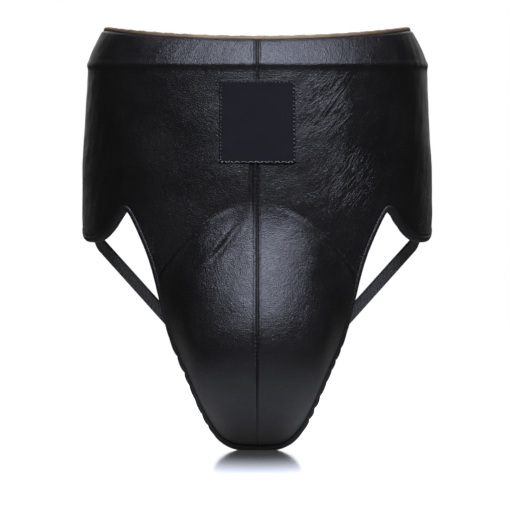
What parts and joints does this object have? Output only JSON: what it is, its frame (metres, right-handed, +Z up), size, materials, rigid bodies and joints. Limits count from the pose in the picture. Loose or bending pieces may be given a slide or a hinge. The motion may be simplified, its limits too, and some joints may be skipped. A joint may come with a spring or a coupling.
{
  "type": "groin protector",
  "caption": "Padded black leather groin and hip guard with a hard cup under its front, tan waist binding, a back belt that opens and elastic leg straps",
  "frame": {"origin": "middle of the waist opening, level with the top of the hip wings", "axes": "+Z up, the front faces -Y, the wearer's left side is at +X"},
  "size_m": [0.294, 0.2594, 0.3513],
  "materials": {
    "black_leather": "satin",
    "tan_leather": "satin",
    "padding_foam": "matte",
    "cup_plastic": "matte",
    "label_cloth": "matte",
    "black_elastic": "matte",
    "grip_tape": "matte",
    "keeper_plastic": "satin"
  },
  "bodies": {
    "guard": {"abdominal_foam": "padding_foam", "belt_anchor_left": "black_leather", "belt_anchor_right": "black_leather", "belt_seam_strip_left": "black_leather", "belt_seam_strip_right": "black_leather", "centre_welt": "black_leather", "cup_cover_foam": "padding_foam", "cup_inner_foam": "padding_foam", "hard_cup": "cup_plastic", "hip_foam_left": "padding_foam", "hip_foam_right": "padding_foam", "label_patch": "label_cloth", "leg_binding_left": "black_leather", "leg_binding_right": "black_leather", "leg_strap_left": "black_elastic", "leg_strap_right": "black_elastic", "lining_left": "tan_leather", "lining_right": "tan_leather", "outer_leather_left": "black_leather", "outer_leather_right": "black_leather", "strap_foot_patch": "black_leather", "strap_tab_left": "black_leather", "strap_tab_right": "black_leather", "strap_tail_left": "black_elastic", "strap_tail_right": "black_elastic", "waist_binding": "tan_leather"},
    "belt_left_half": {"belt_elastic_left": "black_elastic", "belt_tab_left": "black_leather", "hook_patch": "grip_tape"},
    "belt_right_half": {"belt_elastic_right": "black_elastic", "belt_tab_right": "black_leather", "loop_patch": "grip_tape"},
    "keeper_left": {"strap_keeper_left": "keeper_plastic"},
    "keeper_right": {"strap_keeper_right": "keeper_plastic"}
  },
  "joints": [
    {"name": "belt_left_swing", "type": "hinge", "parent": "guard", "child": "belt_left_half", "pos_m": [0.1024, 0.07457, -0.07], "axis": [0, 0, -1], "range_deg": [0, 95]},
    {"name": "belt_right_swing", "type": "hinge", "parent": "guard", "child": "belt_right_half", "pos_m": [-0.1024, 0.07457, -0.07], "axis": [0, 0, 1], "range_deg": [0, 95]},
    {"name": "keeper_left_slide", "type": "slide", "parent": "guard", "child": "keeper_left", "axis": [0.6118, 0.4735, 0.6336], "range_m": [-0.015, 0.015]},
    {"name": "keeper_right_slide", "type": "slide", "parent": "guard", "child": "keeper_right", "axis": [-0.6118, 0.4735, 0.6336], "range_m": [-0.015, 0.015]}
  ],
  "couplings": [
    {"joint": "belt_right_swing", "follows": "belt_left_swing", "ratio": 1}
  ]
}
